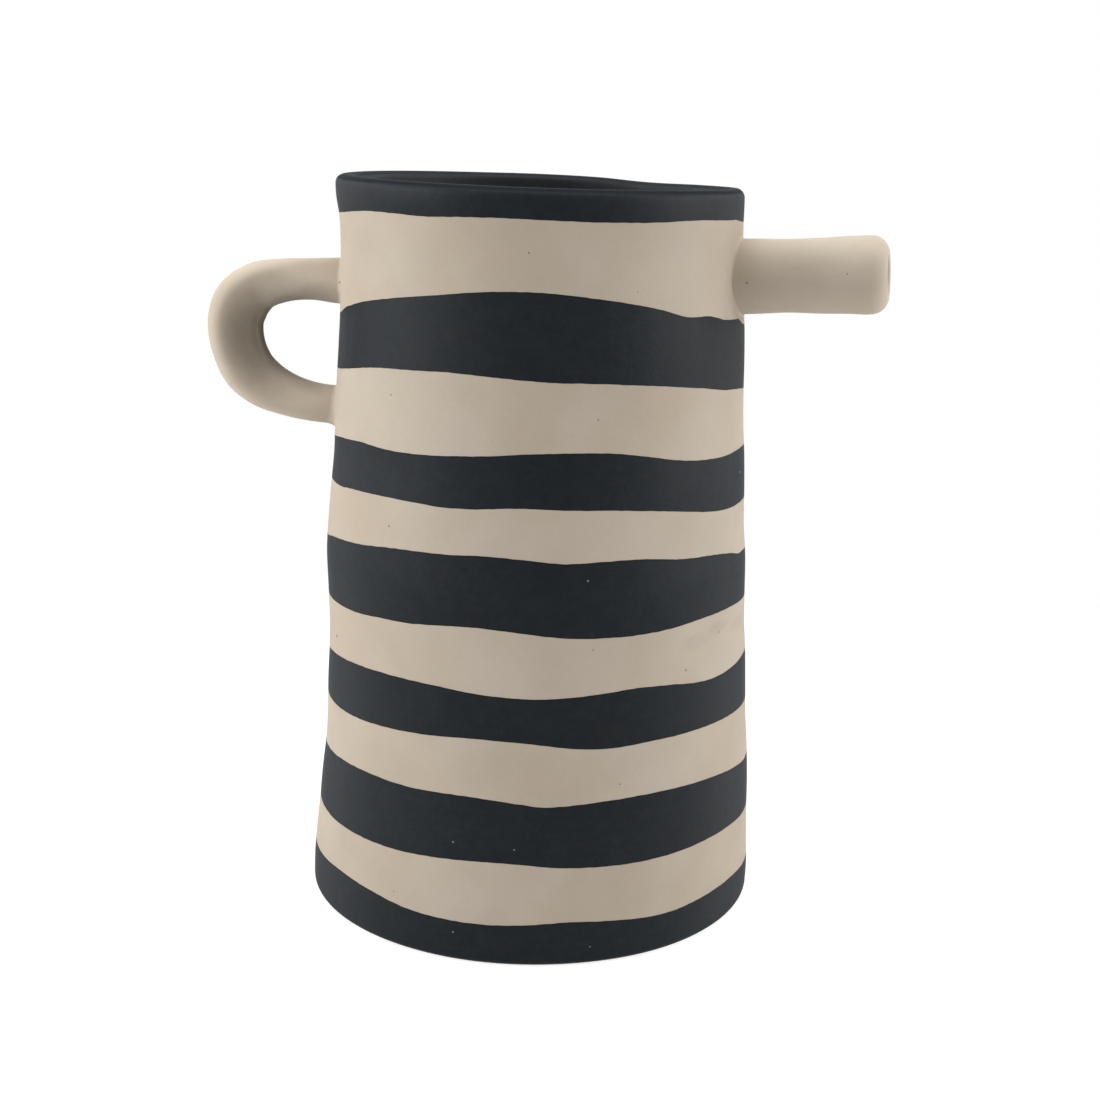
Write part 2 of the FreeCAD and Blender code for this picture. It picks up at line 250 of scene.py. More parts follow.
# A piece of the body, from its outline of (radius, height)
def spunPiece(name, outline, placed, sharpDegrees=38, slipEdges=()):
    corners = [(0, -radius, height) for radius, height in withoutRepeats(outline)]
    bm = spun(corners, (0, 0, 1), body["columns"])
    bmesh.ops.dissolve_degenerate(bm, edges=bm.edges[:], dist=sliver)
    bmesh.ops.recalc_face_normals(bm, faces=bm.faces[:])
    near = bm.verts.layers.float.new("slipEdge") if slipEdges else None
    for vert in bm.verts:
        if near:
            vert[near] = float(min(abs(vert.co.z - edge) for edge in slipEdges) < sameRow)
        vert.co = placed(vert.co)
    return finishMesh(bm, name, sharpDegrees)


def rows(start, end, step):
    count = max(1, round(abs(end - start) / step))
    return [start + (end - start) * number / count for number in range(count + 1)]


def straight(depth, start, end, step):
    return [(tubeRadius - depth, height) for height in rows(start, end, step)]


# Places on an arc, in equal steps from one angle to another
def arc(middle, height, size, start, end, steps):
    angles = [start + (end - start) * number / steps for number in range(steps + 1)]
    return [(middle + size * math.cos(angle), height + size * math.sin(angle)) for angle in angles]


# Rows of a band, with one close to each edge where the slip ends
def bandRows(low, high, lowEnds=True):
    near = slip["edgeWidth"]
    heights = rows(low + near * lowEnds, high - near, body["rowHeight"])
    return [(tubeRadius, height) for height in [low] * lowEnds + heights + [high]]


# Over the lip from outside to inside, set in by a depth
def overLip(inset, start):
    outer, inner, top = body["lipOuterRound"], body["lipInnerRound"], body["rimHeight"]
    innerMiddle, steps = tubeRadius - body["wall"] + inner, body["lipSteps"]
    places = straight(inset, start, top - outer, body["lipRowHeight"])
    places += arc(tubeRadius - outer, top - outer, outer - inset, 0, quarter, steps)[1:]
    places += arc(innerMiddle, top - inner, inner - inset, quarter, math.pi, steps)
    return places + straight(body["wall"] - inset, top - inner, start, body["lipRowHeight"])[1:]


# The part of the foot's rounding above the bare edge, from low to high
def footCurve(inset):
    size = body["footRound"]
    return arc(tubeRadius - size, size, size - inset, -bareAngle, 0, body["footSteps"])


def withoutRepeats(outline):
    kept = []
    for place in outline:
        if not kept or math.dist(place, kept[-1]) > samePlace:
            kept.append(place)
    if math.dist(kept[0], kept[-1]) < samePlace:
        kept.pop()
    return kept


def rideOn(piece, slotName, *nodes):
    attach(piece, "root")
    if nodes:
        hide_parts(*nodes)
    return piece


# Wall and bands
def buildBands():
    bands = {}
    names = ["foot_band", *(f"dark_band_{number}" for number in range(6, 1, -1)), "rim_band"]
    depth, hidden = slip["depth"], body["hiddenRowHeight"]
    for number, name in enumerate(names):
        low, high = evenHeights[number * 2], evenHeights[number * 2 + 1]
        edges = (low, high)
        if name == "foot_band":
            low, edges = body["footRound"], (high,)
            outline = footCurve(0) + bandRows(low, high, False) + straight(depth, high, low, hidden)
            outline += footCurve(depth)[::-1]
        elif name == "rim_band":
            low, edges = rimEdge, (rimEdge,)
            outline = [(tubeRadius, low)] + overLip(0, low + slip["edgeWidth"])
            outline += [(tubeRadius - body["wall"], low)] + overLip(depth, low)[::-1]
        else:
            outline = bandRows(low, high) + straight(depth, high, low, hidden)
        bands[name] = rideOn(spunPiece("slip_" + name, outline, onBody, slipEdges=edges), "dark_slip", name)
    return bands


def buildWall():
    depth, floor, hidden = slip["depth"], body["floor"], body["hiddenRowHeight"]
    outline = [(tubeRadius - body["wall"], floor)]
    outline += straight(depth, floor, evenHeights[1], hidden)
    for number in range(1, len(stripeEdges), 2):
        low, high = evenHeights[number], evenHeights[number + 1]
        outline += straight(0, low, high, body["rowHeight"])
        if high < rimEdge:
            outline += straight(depth, high, evenHeights[number + 2], hidden)
    outline += overLip(depth, rimEdge)
    outline += straight(body["wall"], rimEdge, floor, body["innerRowHeight"])
    return rideOn(spunPiece("clay_wall", outline, onBody), "cream_clay", "wall_slab")


# The round slab that the jug stands on. Its side lies under the foot band, but for the lowest bit.
def buildFloor():
    size, rings = body["footRound"], body["floorRings"]
    outline = [(0, body["floor"]), (0, 0)] + [(radius, 0) for radius in rings]
    outline += arc(tubeRadius - size, size, size, -quarter, -bareAngle, body["footSteps"])
    outline += footCurve(slip["depth"])
    outline += straight(slip["depth"], size, body["floor"], body["floorRowHeight"])
    outline += [(radius, body["floor"]) for radius in rings[::-1]]
    return rideOn(spunPiece("clay_floor", outline, onBody, 30), "cream_clay", "floor_slab")


lining = {
    "thickness": 0.4, "belowRimBand": 0.5, "rings": (0, 12, 24, 36, 46), "rowHeight": 4.0,
    "coilWidth": 8.0, "coilHeight": 9.0, "coilEdge": 0.6, "coilHollow": 0.22, "coilSteps": 10,
    "followsRimAbove": 190,    # its top edge follows the rim band's from here up
}


def innerRadius(height):
    left, right = sideLine.at(height)
    return (right - left) / 2 - body["wall"]


# Clear glaze over the floor, the seam coil and the wall, up to just below the rim band
def buildLining():
    top = rimEdge - lining["belowRimBand"]
    floor, edge = body["floor"], lining["coilEdge"]
    coilTop = floor + lining["coilHeight"]
    corner = innerRadius(floor)

    def side(thick):
        low = (corner - lining["coilWidth"] - thick, floor + edge + thick)
        high = (innerRadius(coilTop) - edge - thick, coilTop + thick)
        middle = ((low[0] + high[0]) / 2, (low[1] + high[1]) / 2)
        places = [(radius, floor + thick) for radius in (*lining["rings"], low[0])]
        for number in range(lining["coilSteps"] + 1):
            way = number / lining["coilSteps"]
            bend = 4 * way * (1 - way) * lining["coilHollow"]
            radius, height = low[0] + (high[0] - low[0]) * way, low[1] + (high[1] - low[1]) * way
            places.append((radius + (corner - middle[0]) * bend, height + (floor - middle[1]) * bend))
        heights = rows(coilTop + thick, top, lining["rowHeight"])
        return places + [(innerRadius(height) - thick, height) for height in heights]

    def placed(place):
        angle, across = angleOf(place.x, place.y), math.hypot(place.x, place.y)
        lift = (heightsAt(angle)[-2] - rimEdge) * eased(place.z, lining["followsRimAbove"], top)
        height = place.z + lift
        return pointAt(angle, across + innerRadius(height) - innerRadius(place.z), height)

    glaze = spunPiece("glaze_inside", side(0.0)[::-1] + side(lining["thickness"]), placed, 60)
    return rideOn(glaze, "clear_glaze", "glaze_lining")


# Loop handle
handle = {
    # centre line from the upper joint round to the lower one: x, height and thickness
    "line": [
        (-55.5, 183.7, 13.4), (-59.5, 183.9, 13.2), (-66.7, 184.2, 12.1), (-75.6, 183.6, 12.7),
        (-82.5, 181.7, 14.5), (-87.4, 177.45, 16.4), (-89.35, 173.0, 16.4), (-89.6, 169.0, 16.2),
        (-88.7, 163.6, 15.9), (-85.7, 157.2, 15.7), (-81.1, 153.15, 14.6), (-74.6, 150.05, 12.7),
        (-67.0, 148.0, 11.5), (-59.5, 147.2, 11.3), (-55.5, 147.0, 11.3)],
    "width": 14.5, "evenWidthShare": 0.92, "usualThickness": 16,
    "rings": 96, "ringPoints": 64, "directionStep": 0.4,
    "fullness": 2.15,    # 2 is a plain oval, more is squarer
    "fingerMarkShare": 0.22 / 6, "fingerMarkSize": 11.0,
    # Below, each pair is where an effect sets in and where it is full. Along counts in shares of the handle's
    # length, and across from -1, the loop's inner side, to 1, its outer side.
    "bendAlong": [(0.12, 0.34), (0.93, 0.68)],
    "pressedInShare": 0.6, "pressedAcross": (0.78, -0.57),    # the bend's sides, towards the loop
    "slopedShare": 0.4, "slopedAlong": (0.3, 0.1), "slopedAcross": (-0.45, 0.75),    # the upper arm's sides
    "foldShare": 0.1, "foldAlong": [(0.3, 0.42), (0.68, 0.54)],
    "groove": (-0.74, 0.09), "ridge": (-0.9, 0.06), "ridgeShare": 0.9,    # middle and width across
}

handleSteps = [0.0]
for before, after in zip(handle["line"], handle["line"][1:]):
    handleSteps.append(handleSteps[-1] + math.dist(before[:2], after[:2]))
handleLine = SmoothLine([(step,) + row for step, row in zip(handleSteps, handle["line"])])


# Centre, direction along the handle, direction towards the inside of the loop, and thickness
def handleAt(length):
    x, z, thickness = handleLine.at(length)
    near = handle["directionStep"]
    ahead, behind = handleLine.at(length + near), handleLine.at(length - near)
    along = Vector((ahead[0] - behind[0], 0, ahead[1] - behind[1])).normalized()
    return Vector((x, 0, z)), along, Vector((-along.z, 0, along.x)), thickness


def bell(value, middle, width):
    return math.exp(-((value - middle) / width) ** 2)


def handlePoint(length, angle):
    centre, _, inward, thickness = handleAt(length)
    power = 2 / handle["fullness"]
    a = math.copysign(abs(math.cos(angle)) ** power, math.cos(angle))
    b = math.copysign(abs(math.sin(angle)) ** power, math.sin(angle))
    share = length / handleSteps[-1]
    starts, ends = handle["bendAlong"]
    bend = eased(share, *starts) * eased(share, *ends)
    b *= 1 - handle["pressedInShare"] * bend * eased(a, *handle["pressedAcross"])
    sloped = eased(share, *handle["slopedAlong"]) * eased(a, *handle["slopedAcross"])
    b *= 1 - handle["slopedShare"] * sloped
    starts, ends = handle["foldAlong"]
    fold = handle["foldShare"] * eased(share, *starts) * eased(share, *ends) * abs(b)
    folded = bell(a, *handle["groove"]) - handle["ridgeShare"] * bell(a, *handle["ridge"])
    b -= math.copysign(fold, b) * folded
    even = handle["evenWidthShare"]
    width = handle["width"] * (even + (1 - even) * thickness / handle["usualThickness"])
    offset = -inward * (a * thickness / 2) + Vector((0, 1, 0)) * (b * width / 2)
    spot = (centre + offset) / handle["fingerMarkSize"]
    marks = noise.noise(spot) * handle["fingerMarkShare"] * abs(math.sin(angle))
    return centre + offset * (1 + marks)


# Rings of points, each bridged to the next, with the last one closed on the first or both ends capped
def bridgedRings(name, rings, closed, sharpDegrees=50):
    bm = bmesh.new()
    loops = []
    for ring in rings:
        made = bmesh.ops.create_circle(bm, segments=len(ring), radius=1.0, cap_ends=False)["verts"]
        for vert, place in zip(made, ring):
            vert.co = place
        loops.append(list({edge for vert in made for edge in vert.link_edges}))
    pairs = zip(loops, loops[1:] + loops[:1] if closed else loops[1:])
    for low, high in pairs:
        bmesh.ops.bridge_loops(bm, edges=low + high)
    if not closed:
        bmesh.ops.holes_fill(bm, edges=[edge for edge in bm.edges if edge.is_boundary], sides=0)
    bmesh.ops.recalc_face_normals(bm, faces=bm.faces[:])
    return finishMesh(bm, name, sharpDegrees)


def buildHandle():
    count, points = handle["rings"], handle["ringPoints"]
    rings = []
    for number in range(count + 1):
        length = handleSteps[-1] * number / count
        rings.append([handlePoint(length, math.tau * step / points) for step in range(points)])
    return rideOn(bridgedRings("clay_loop_handle", rings, False), "cream_clay", "loop_handle")


# Luting clay round a joint
collars = {
    # how far the clay runs along the arm, and over the wall: above, front, below, back
    "topAlong": (1.0, 1.6, 1.6, 1.6), "topSpread": (0.8, 1.3, 1.2, 1.3),
    "footAlong": (1.4, 2.4, 4.6, 2.4), "footSpread": (1.2, 1.6, 1.5, 1.6),
    "spoutAlong": (1.6, 0.7, 2.0, 1.8), "spoutSpread": (1.2, 0.7, 1.7, 2.0),
    "ragged": 0.35, "raggedSize": 2.3, "steps": 9,
    "sunk": 0.12,    # its thin edges end this far under the arm and the wall
    # behind the wall's face: mm inwards and share of the spread, then mm into the corner
    "wallTuck": (0.8, 0.5), "cornerTuck": 1.2,
}


# Slides a place along a direction until it lies on the wall, by halving
def ontoWall(place, direction, furthest=14.0, halvings=28):
    low, high = -furthest, furthest
    for _ in range(halvings):
        way = (low + high) / 2
        tried = place + direction * way
        middle, radius = outerSide(angleOf(tried.x, tried.y), tried.z)
        if math.hypot(tried.x - middle, tried.y) > radius:
            high = way
        else:
            low = way
    return place + direction * high


# joint: centre, with the way out. section gives the arm's offset at an angle. along and spread give how far
# the clay runs up the arm and over the wall there.
def buildCollar(name, node, joint, outwards, section, along, spread, points=64):
    columns = []
    sunk, steps = collars["sunk"], collars["steps"]
    for number in range(points):
        angle = math.tau * number / points
        offset = section(angle)
        size = offset.length
        corner = ontoWall(joint + offset, outwards)
        unevenness = Vector((math.cos(angle), math.sin(angle), 0)) * collars["raggedSize"]
        ragged = 1 + collars["ragged"] * noise.noise(unevenness + Vector((0, 0, len(name))))
        far = joint + offset * ((size - sunk) / size)
        armPlace = far + outwards * ((corner - joint).dot(outwards) + along(angle) * ragged)
        reach = spread(angle) * ragged
        wallPlace = ontoWall(joint + offset * ((size + reach) / size), outwards) - outwards * sunk
        column = []
        for step in range(steps + 1):
            t = step / steps
            column.append(armPlace * (1 - t) ** 2 + corner * (2 * t * (1 - t)) + wallPlace * t ** 2)
        inwards, back = collars["wallTuck"]
        column.append(wallPlace - outwards * inwards - offset.normalized() * (reach * back))
        column.append(corner - (outwards + offset.normalized()) * collars["cornerTuck"])
        columns.append(column)
    rings = [list(ring) for ring in zip(*columns)]
    return rideOn(bridgedRings(name, rings, True, 70), "cream_clay", node)


def byAngle(kind):
    line = SmoothLine(list(zip((0, 90, 180, 270), collars[kind])), 360)
    return lambda angle: line.at(math.degrees(angle) % 360)[0]


def buildHandleCollars():
    made = []
    for end, place in (("top", handleSteps[1]), ("foot", handleSteps[-2])):
        centre, along = handleAt(place)[:2]
        outwards = along if along.x < 0 else -along

        # 0 is above, 90 degrees the front
        def section(angle):
            turned = -angle if end == "top" else angle + math.pi
            offset = handlePoint(place, turned) - centre
            up = math.copysign(abs(offset.z), math.cos(angle))
            side = -math.copysign(abs(offset.y), math.sin(angle))
            return Vector((0, side, up))

        made.append(buildCollar("luting_handle_" + end, f"handle_{end}_collar", centre, outwards, section,
                                byAngle(end + "Along"), byAngle(end + "Spread")))
    return made


# Spout
spout = {
    "root": (59.0, 188.54), "tilt": 3.0, "towardsFront": 15.0, "bore": 5.0, "mouthRound": 1.2, "glaze": 0.4,
    # distance out from the root and radius
    "side": [(-5.0, 10.85), (0.0, 10.67), (3.2, 10.6), (10.4, 10.36), (18.0, 10.42), (25.6, 10.66),
             (33.0, 10.88), (36.4, 10.9), (38.1, 10.62), (39.6, 9.8), (40.5, 8.9), (41.1, 7.8),
             (41.35, 6.85), (41.4, 6.2)],
    "evenRows": 6,    # the side's rows up to here are joined by even steps, and the rest by three steps each
    "unevenness": 0.16, "unevenSize": 9, "unevenRadii": (6, 10),
    "rowLength": 1.3, "boreRowLength": 4.0, "mouthSteps": 5, "columns": 96, "drillLength": 24,
    "collarAt": 1.0, "collarSunk": 0.03,
    # the glaze in the bore: how deep it lies in the clay, its rounded end, and how far it passes the wall
    "glazeSunk": 0.02, "glazeRound": 0.1, "glazePast": 1.0,
    "flushWithin": 2.5, "flushBefore": 56,    # how near the lining a place of its inner end is moved onto it
}

swing = Matrix.Rotation(-turn(spout["towardsFront"]), 3, "Z")


def alongSpout(place):
    tilted = Matrix.Rotation(-turn(spout["tilt"]), 3, "Y") @ place
    return swing @ (tilted + Vector((spout["root"][0], 0, spout["root"][1])))


def spunOnSpout(name, outline, uneven):
    bm = spun([(out, 0, radius) for out, radius in withoutRepeats(outline)], (1, 0, 0), spout["columns"])
    bmesh.ops.recalc_face_normals(bm, faces=bm.faces[:])
    for vert in bm.verts:
        across = math.hypot(vert.co.y, vert.co.z)
        bump = noise.noise(vert.co / spout["unevenSize"]) * uneven * eased(across, *spout["unevenRadii"])
        swollen = vert.co * (1 + bump / max(across, 1))
        vert.co = alongSpout(Vector((vert.co.x, swollen.y, swollen.z)))
    return finishMesh(bm, name, 50)


def buildSpout():
    side, evenRows = spout["side"], spout["evenRows"]
    sideOf = SmoothLine(side)
    places = rows(side[0][0], side[evenRows][0], spout["rowLength"])
    for (low, _), (high, _) in zip(side[evenRows:], side[evenRows + 1:]):
        places += [low + (high - low) * number / 3 for number in (1, 2, 3)]
    outline = [(place, sideOf.at(place)[0]) for place in places]
    end, bore, size = side[-1][0], spout["bore"], spout["mouthRound"]
    outline += arc(end - size, bore + size, size, 0, -quarter, spout["mouthSteps"])[1:]
    outline += [(place, bore) for place in rows(end - size, side[0][0], spout["boreRowLength"])[1:]]
    tube = spunOnSpout("clay_spout", outline, spout["unevenness"])
    return rideOn(tube, "cream_clay", "spout_tube")


def buildSleeve():
    start, end = -body["wall"] - spout["glazePast"], spout["side"][-1][0] - spout["mouthRound"]
    bore, size, step = spout["bore"], spout["glazeRound"], spout["boreRowLength"]
    inner = bore - spout["glaze"]
    outline = [(place, bore + spout["glazeSunk"]) for place in rows(start, end, step)]
    outline += [(end + size, bore - size), (end + size / 2, inner + size)]
    outline += [(place, inner) for place in rows(end - size, start, step)]
    sleeve = spunOnSpout("glaze_in_spout", outline, 0.0)
    for vert in sleeve.data.vertices:    # the inner end lies flush with the lining
        place = swing.inverted() @ (vert.co / mm)
        limit = innerRadius(place.z) - lining["thickness"]
        if math.hypot(place.x, place.y) < limit + spout["flushWithin"] and place.x < spout["flushBefore"]:
            place.x = math.sqrt(max(limit * limit - place.y * place.y, 0))
            vert.co = swing @ place * mm
    return rideOn(sleeve, "clear_glaze", "spout_glaze_sleeve")


def buildSpoutCollar():
    tilt = turn(spout["tilt"])
    outwards = swing @ Vector((math.cos(tilt), 0, math.sin(tilt)))
    size = SmoothLine(spout["side"]).at(spout["collarAt"])[0] - spout["collarSunk"]

    def section(angle):
        return swing @ Vector((0, -size * math.sin(angle), size * math.cos(angle)))

    return buildCollar("luting_spout", "spout_collar", alongSpout(Vector((0, 0, 0))), outwards, section,
                       byAngle("spoutAlong"), byAngle("spoutSpread"), points=96)


# Drills the spout's bore through a piece, and keeps the plain mesh
def drill(piece, radius):
    bm = bmesh.new()
    bmesh.ops.create_cone(bm, cap_ends=True, segments=spout["columns"], radius1=radius, radius2=radius,
                          depth=spout["drillLength"])
    bmesh.ops.rotate(bm, verts=bm.verts[:], cent=(0, 0, 0), matrix=Matrix.Rotation(quarter, 3, "Y"))
    for vert in bm.verts:
        vert.co = alongSpout(vert.co)
    drillBit = finishMesh(bm, "drill_bit")
    cut = piece.modifiers.new("bore", "BOOLEAN")
    cut.operation, cut.solver, cut.object = "DIFFERENCE", "EXACT", drillBit
    graph = bpy.context.evaluated_depsgraph_get()
    drilled = bpy.data.meshes.new_from_object(piece.evaluated_get(graph))
    piece.modifiers.clear()
    piece.data = drilled
    bpy.data.objects.remove(drillBit)


bands = buildBands()
print("bands made")
wall = buildWall()
drill(wall, spout["bore"])
floor = buildFloor()
print("wall and floor made")
glaze = buildLining()
drill(glaze, spout["bore"])
print("lining made")
loopHandle = buildHandle()
handleCollars = buildHandleCollars()
print("handle made")
spoutTube = buildSpout()
sleeve = buildSleeve()
spoutCollar = buildSpoutCollar()
print("spout made")


# Camera
camera = {
    "lens": 56.29, "sensor": 36.0, "height": 226.4, "distance": 509.0,
    "down": 13.54, "roll": 1.19, "yaw": 0.49,    # degrees
}


def placeCamera():
    data = bpy.data.cameras.new("camera")
    data.lens, data.sensor_width, data.sensor_fit = camera["lens"], camera["sensor"], "HORIZONTAL"
    eye = bpy.data.objects.new("camera", data)
    yaw, roll = Matrix.Rotation(-turn(camera["yaw"]), 4, "Z"), Matrix.Rotation(turn(camera["roll"]), 4, "Z")
    tilt = Matrix.Rotation(quarter - turn(camera["down"]), 4, "X")
    stand = Vector((0, -camera["distance"], camera["height"])) * mm
    eye.matrix_world = Matrix.Translation(stand) @ yaw @ tilt @ roll
    scene.collection.objects.link(eye)
    scene.camera = eye


placeCamera()


# Gives a socket a link, a number, a vector or a colour
def feed(value, socket):
    if isinstance(value, bpy.types.NodeSocket):
        socket.id_data.links.new(value, socket)
    elif isinstance(value, tuple) and len(socket.default_value) == 4:
        socket.default_value = (*value, 1)
    else:
        socket.default_value = value


def feedAll(node, inputs):
    for label, value in inputs.items():
        feed(value, node.inputs[label])


# A node with its settings, fed by the names or numbers of its inputs, in the tree that feeds it
def newNode(kind, inputs=None, tree=None, **settings):
    inputs = inputs or {}
    if not tree:
        tree = next(value.id_data for value in inputs.values() if isinstance(value, bpy.types.NodeSocket))
    node = tree.nodes.new("ShaderNode" + kind)
    for label, setting in settings.items():
        setattr(node, label, setting)
    feedAll(node, inputs)
    return node


def maths(operation, *values, clamp=False):
    return newNode("Math", dict(enumerate(values)), operation=operation, use_clamp=clamp).outputs[0]


def plus(first, second, clamp=False):
    return maths("ADD", first, second, clamp=clamp)


def times(first, second):
    return maths("MULTIPLY", first, second)


# The middle of a noise is 0.5: this moves it to 0 and gives the noise a strength.
def aroundZero(value, strength):
    return times(maths("SUBTRACT", value, 0.5), strength)


def strongest(masks):
    most = masks[0]
    for mask in masks[1:]:
        most = maths("MAXIMUM", most, mask)
    return most


def vectorMaths(operation, *values):
    node = newNode("VectorMath", dict(enumerate(values)), operation=operation)
    return node.outputs["Value" if operation == "LENGTH" else "Vector"]


def zOf(vector):
    return newNode("SeparateXYZ", {0: vector}).outputs["Z"]


def noiseOf(vector, scale, detail=2.0, rough=0.5):
    inputs = {"Vector": vector, "Scale": scale, "Detail": detail, "Roughness": rough}
    return newNode("TexNoise", inputs).outputs["Fac"]


# Eases a value from one range to another
def ranged(value, low, high, newLow, newHigh):
    inputs = {"Value": value, "From Min": low, "From Max": high, "To Min": newLow, "To Max": newHigh}
    return newNode("MapRange", inputs, interpolation_type="SMOOTHSTEP").outputs["Result"]


def blended(amount, first, second):
    return newNode("Mix", {0: amount, 6: first, 7: second}, data_type="RGBA").outputs[2]


# Node groups that the clay, the slip and the glaze share. A vector stands for a vector input.
def newGroup(name, inputs, outputs):
    group = bpy.data.node_groups.new(name, "ShaderNodeTree")
    for label, value in inputs.items():
        kind = "NodeSocketVector" if isinstance(value, tuple) else "NodeSocketFloat"
        group.interface.new_socket(label, in_out="INPUT", socket_type=kind).default_value = value
    for label in outputs:
        group.interface.new_socket(label, in_out="OUTPUT", socket_type="NodeSocketFloat")
    return group, group.nodes.new("NodeGroupInput").outputs, group.nodes.new("NodeGroupOutput").inputs


middleOfJug = (0.0, 0.0, 0.0)


# Soft clouding, fine grain and shallow dents. Sizes are in mm, and Dent Scale is the noise's own scale.
def makeClayGrain():
    group, given, result = newGroup(
        "clayGrain",
        {"Place": middleOfJug, "Cloud Size": 24.0, "Clouding": 0.05, "Grain Size": 0.5, "Graininess": 0.05,
         "Dent Scale": 0.09, "Dent Roughness": 0.45},
        ("Tone", "Height", "Dents"))
    spot = given["Place"]
    clouds = noiseOf(spot, maths("DIVIDE", 1.0, given["Cloud Size"]), 4.0, 0.55)
    fine = noiseOf(spot, maths("DIVIDE", 1.0, given["Grain Size"]), 2.0, 0.6)
    coarse = noiseOf(spot, maths("DIVIDE", 0.28, given["Grain Size"]))
    grain = plus(times(fine, 0.6), times(coarse, 0.4))
    tone = plus(aroundZero(clouds, given["Clouding"]), aroundZero(grain, given["Graininess"]))
    feed(plus(1.0, times(tone, 2.0)), result["Tone"])
    feed(grain, result["Height"])
    feed(noiseOf(spot, given["Dent Scale"], 3.0, given["Dent Roughness"]), result["Dents"])
    return group


# Small bits strewn over a surface, of uneven size, one at most to each cell
def makeStrewnBits():
    group, given, result = newGroup(
        "strewnBits", {"Place": middleOfJug, "Spacing": 6.0, "Share": 0.2, "Size": 0.3}, ("Mask",))
    scale = maths("DIVIDE", 1.0, given["Spacing"])
    cells = newNode("TexVoronoi", {"Vector": given["Place"], "Scale": scale}).outputs
    chance = newNode("SeparateColor", {"Color": cells["Color"]}).outputs
    chosen = maths("LESS_THAN", chance["Red"], given["Share"])
    wobble = plus(0.6, noiseOf(given["Place"], 2.2, 1.0))
    away = times(times(cells["Distance"], given["Spacing"]), wobble)
    size = times(given["Size"], plus(0.35, chance["Green"]))
    bit = ranged(away, times(size, 0.55), size, 1.0, 0.0)
    feed(times(bit, chosen), result["Mask"])
    return group


# One mark at a place: a soft-edged blot, broken up by noise as far as Ragged says
def makeSingleMark():
    group, given, result = newGroup(
        "singleMark",
        {"Place": middleOfJug, "Middle": middleOfJug, "Reach": (1.0, 1.0, 1.0), "Ragged": 0.3}, ("Mask",))
    away = vectorMaths("SUBTRACT", given["Place"], given["Middle"])
    away = vectorMaths("DIVIDE", away, given["Reach"])
    broken = aroundZero(noiseOf(away, 2.4, 4.0, 0.6), times(given["Ragged"], 2.0))
    away = plus(vectorMaths("LENGTH", away), broken)
    feed(ranged(away, 0.35, 1.0, 1.0, 0.0), result["Mask"])
    return group


groups = {"grain": makeClayGrain(), "bits": makeStrewnBits(), "mark": makeSingleMark()}


def useGroup(name, spot, values):
    return newNode("Group", {"Place": spot, **values}, node_tree=groups[name]).outputs


# A new material, its nodes, and the place in millimetres that its patterns follow
def newMaterial(name):
    material = bpy.data.materials.new(name)
    material.use_nodes = True
    tree = material.node_tree
    spot = newNode("TexCoord", tree=tree).outputs["Object"]
    return material, tree, vectorMaths("MULTIPLY", spot, (1 / mm,) * 3)


# How strongly a few marks show at each point
def marksOf(spot, marks, ragged):
    values = [{"Middle": middle, "Reach": reach, "Ragged": ragged} for middle, reach in marks]
    return strongest([useGroup("mark", spot, mark)["Mask"] for mark in values])


# How strongly the strewn bits and the single specks of a look show. Depth lets a speck reach into the wall.
def specksOf(spot, look, strength=0.8, ragged=0.3, depth=2.5):
    masks = [times(useGroup("bits", spot, bits)["Mask"], share) for bits, share in look["bits"]]
    marks = [(middle, (size, size * depth, size)) for middle, size in look["specks"]]
    if marks:
        masks.append(times(marksOf(spot, marks, ragged), strength))
    return strongest(masks)


# Puts the grain's tone on the colour, and joins colour, roughness, gloss and relief to the shader
def finishMaterial(tree, look, colour, tone, roughness, heights):
    toned = newNode("VectorMath", {0: colour, "Scale": tone}, operation="SCALE").outputs[0]
    normal = None
    for height, (distance, strength) in zip(heights, look["reliefs"]):
        inputs = {"Height": height, "Distance": distance * mm, "Strength": strength}
        if normal:
            inputs["Normal"] = normal
        normal = newNode("Bump", inputs).outputs["Normal"]
    inputs = {"Base Color": toned, "Roughness": roughness, "Normal": normal}
    feedAll(tree.nodes["Principled BSDF"], {**inputs, "Specular IOR Level": look["specular"]})


usualNoise = (0.3, 0.7)    # most of a noise lies between these

